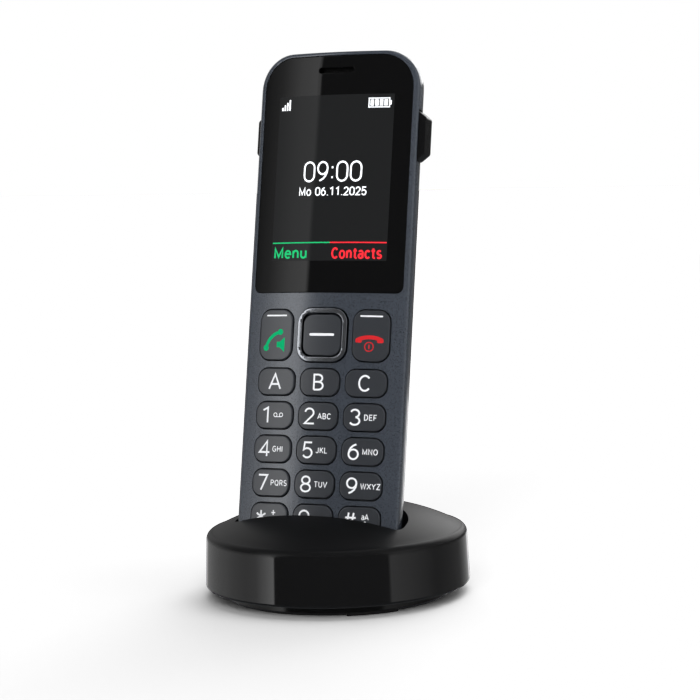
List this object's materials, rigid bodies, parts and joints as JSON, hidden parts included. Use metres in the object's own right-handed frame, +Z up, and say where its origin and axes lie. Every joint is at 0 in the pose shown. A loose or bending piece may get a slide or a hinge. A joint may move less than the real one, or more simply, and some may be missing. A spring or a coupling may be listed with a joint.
{
  "type": "cordless phone with charging base",
  "caption": "Keypad cordless phone handset leaning back in a slot through a low round domed charging base, with rocking and pressing keys, side keys and a battery cover.",
  "frame": {"origin": "centre of the base's footprint, on the surface the feet stand on", "axes": "+Z up, -Y towards the person facing the display, +X to their right; the handset leans back 11.5 degrees towards +Y"},
  "size_m": [0.0778, 0.0778, 0.1589],
  "materials": {
    "blue_paint": "fine-flake satin paint, blue-grey",
    "key_paint": "satin paint, a little lighter than the shell",
    "black_gloss": "polished",
    "black_plastic": "satin moulded",
    "screen_dark": "smooth",
    "chrome_ring": "polished",
    "silicone": "matte",
    "circuit": "solder-masked",
    "steel": "plated",
    "gold": "gold-plated",
    "rubber_black": "matte",
    "cell_wrap": "shrink film",
    "red_wire": "smooth insulation"
  },
  "bodies": {
    "base": {"base_top_shell": "black_plastic", "base_bottom_shell": "black_plastic", "foot_front": "rubber_black", "foot_rear": "rubber_black", "foot_left": "rubber_black", "base_screw_rear_right": "steel", "base_screw_rear_left": "steel", "base_screw_front": "steel", "power_socket": "black_plastic", "power_wire_red": "red_wire", "power_wire_black": "black_plastic", "charging_board": "circuit"},
    "handset": {"front_shell": "blue_paint", "rear_shell": "blue_paint", "display_lens": "black_gloss", "display_module": "screen_dark", "earpiece_mesh": "steel", "earpiece_speaker": "black_plastic", "key_mat": "silicone", "main_board": "circuit", "loudspeaker": "steel", "microphone": "steel", "battery_left": "cell_wrap", "battery_right": "cell_wrap", "battery_spring_left": "steel", "battery_spring_right": "steel", "battery_plate_left": "steel", "battery_plate_right": "steel", "handset_screw_left": "steel", "handset_screw_right": "steel", "handset_contact_left": "gold", "handset_contact_right": "gold"},
    "key_star": {"key_star": "key_paint"},
    "key_0": {"key_0": "key_paint"},
    "key_hash": {"key_hash": "key_paint"},
    "key_7": {"key_7": "key_paint"},
    "key_8": {"key_8": "key_paint"},
    "key_9": {"key_9": "key_paint"},
    "key_4": {"key_4": "key_paint"},
    "key_5": {"key_5": "key_paint"},
    "key_6": {"key_6": "key_paint"},
    "key_1": {"key_1": "key_paint"},
    "key_2": {"key_2": "key_paint"},
    "key_3": {"key_3": "key_paint"},
    "key_a": {"key_a": "key_paint"},
    "key_b": {"key_b": "key_paint"},
    "key_c": {"key_c": "key_paint"},
    "call_key": {"call_key": "key_paint"},
    "end_key": {"end_key": "key_paint"},
    "nav_ring": {"nav_ring": "chrome_ring"},
    "nav_centre_key": {"nav_centre_key": "key_paint"},
    "volume_rocker": {"volume_rocker": "black_plastic"},
    "left_side_key": {"left_side_key": "black_plastic"},
    "battery_cover": {"battery_cover": "blue_paint"},
    "charging_pin_left": {"charging_pin_left": "gold"},
    "charging_pin_right": {"charging_pin_right": "gold"}
  },
  "joints": [
    {"name": "handset_lift", "type": "slide", "parent": "base", "child": "handset", "axis": [0, 0.1994, 0.9799], "range_m": [0, 0.045]},
    {"name": "key_star_press", "type": "slide", "parent": "handset", "child": "key_star", "axis": [0, 0.9799, -0.1994], "range_m": [0, 0.0005], "stiffness_N_per_m": 500},
    {"name": "key_0_press", "type": "slide", "parent": "handset", "child": "key_0", "axis": [0, 0.9799, -0.1994], "range_m": [0, 0.0005], "stiffness_N_per_m": 500},
    {"name": "key_hash_press", "type": "slide", "parent": "handset", "child": "key_hash", "axis": [0, 0.9799, -0.1994], "range_m": [0, 0.0005], "stiffness_N_per_m": 500},
    {"name": "key_7_press", "type": "slide", "parent": "handset", "child": "key_7", "axis": [0, 0.9799, -0.1994], "range_m": [0, 0.0005], "stiffness_N_per_m": 500},
    {"name": "key_8_press", "type": "slide", "parent": "handset", "child": "key_8", "axis": [0, 0.9799, -0.1994], "range_m": [0, 0.0005], "stiffness_N_per_m": 500},
    {"name": "key_9_press", "type": "slide", "parent": "handset", "child": "key_9", "axis": [0, 0.9799, -0.1994], "range_m": [0, 0.0005], "stiffness_N_per_m": 500},
    {"name": "key_4_press", "type": "slide", "parent": "handset", "child": "key_4", "axis": [0, 0.9799, -0.1994], "range_m": [0, 0.0005], "stiffness_N_per_m": 500},
    {"name": "key_5_press", "type": "slide", "parent": "handset", "child": "key_5", "axis": [0, 0.9799, -0.1994], "range_m": [0, 0.0005], "stiffness_N_per_m": 500},
    {"name": "key_6_press", "type": "slide", "parent": "handset", "child": "key_6", "axis": [0, 0.9799, -0.1994], "range_m": [0, 0.0005], "stiffness_N_per_m": 500},
    {"name": "key_1_press", "type": "slide", "parent": "handset", "child": "key_1", "axis": [0, 0.9799, -0.1994], "range_m": [0, 0.0005], "stiffness_N_per_m": 500},
    {"name": "key_2_press", "type": "slide", "parent": "handset", "child": "key_2", "axis": [0, 0.9799, -0.1994], "range_m": [0, 0.0005], "stiffness_N_per_m": 500},
    {"name": "key_3_press", "type": "slide", "parent": "handset", "child": "key_3", "axis": [0, 0.9799, -0.1994], "range_m": [0, 0.0005], "stiffness_N_per_m": 500},
    {"name": "key_a_press", "type": "slide", "parent": "handset", "child": "key_a", "axis": [0, 0.9799, -0.1994], "range_m": [0, 0.0005], "stiffness_N_per_m": 500},
    {"name": "key_b_press", "type": "slide", "parent": "handset", "child": "key_b", "axis": [0, 0.9799, -0.1994], "range_m": [0, 0.0005], "stiffness_N_per_m": 500},
    {"name": "key_c_press", "type": "slide", "parent": "handset", "child": "key_c", "axis": [0, 0.9799, -0.1994], "range_m": [0, 0.0005], "stiffness_N_per_m": 500},
    {"name": "nav_centre_key_press", "type": "slide", "parent": "handset", "child": "nav_centre_key", "axis": [0, 0.9799, -0.1994], "range_m": [0, 0.0005], "stiffness_N_per_m": 500},
    {"name": "call_key_rock", "type": "hinge", "parent": "handset", "child": "call_key", "pos_m": [-0.0151, -0.00124, 0.07599], "axis": [1, 0, 0], "range_deg": [-2.5, 2.5], "stiffness_Nm_per_rad": 0.08},
    {"name": "end_key_rock", "type": "hinge", "parent": "handset", "child": "end_key", "pos_m": [0.0151, -0.00124, 0.07599], "axis": [1, 0, 0], "range_deg": [-2.5, 2.5], "stiffness_Nm_per_rad": 0.08},
    {"name": "nav_ring_rock", "type": "hinge", "parent": "handset", "child": "nav_ring", "pos_m": [0, -0.00124, 0.07599], "axis": [1, 0, 0], "range_deg": [-2, 2], "stiffness_Nm_per_rad": 0.08},
    {"name": "volume_rock", "type": "hinge", "parent": "handset", "child": "volume_rocker", "pos_m": [0.0218, 0.01176, 0.13335], "axis": [0, 0.9799, -0.1994], "range_deg": [-2, 2], "stiffness_Nm_per_rad": 0.08},
    {"name": "left_side_key_press", "type": "slide", "parent": "handset", "child": "left_side_key", "axis": [1, 0, 0], "range_m": [0, 0.0003], "stiffness_N_per_m": 500},
    {"name": "battery_cover_off", "type": "slide", "parent": "handset", "child": "battery_cover", "axis": [0, 0.9799, -0.1994], "range_m": [0, 0.012]},
    {"name": "charging_pin_left_press", "type": "slide", "parent": "base", "child": "charging_pin_left", "axis": [0, -0.1994, -0.9799], "range_m": [0, 0.001], "stiffness_N_per_m": 300},
    {"name": "charging_pin_right_press", "type": "slide", "parent": "base", "child": "charging_pin_right", "axis": [0, -0.1994, -0.9799], "range_m": [0, 0.001], "stiffness_N_per_m": 300}
  ]
}
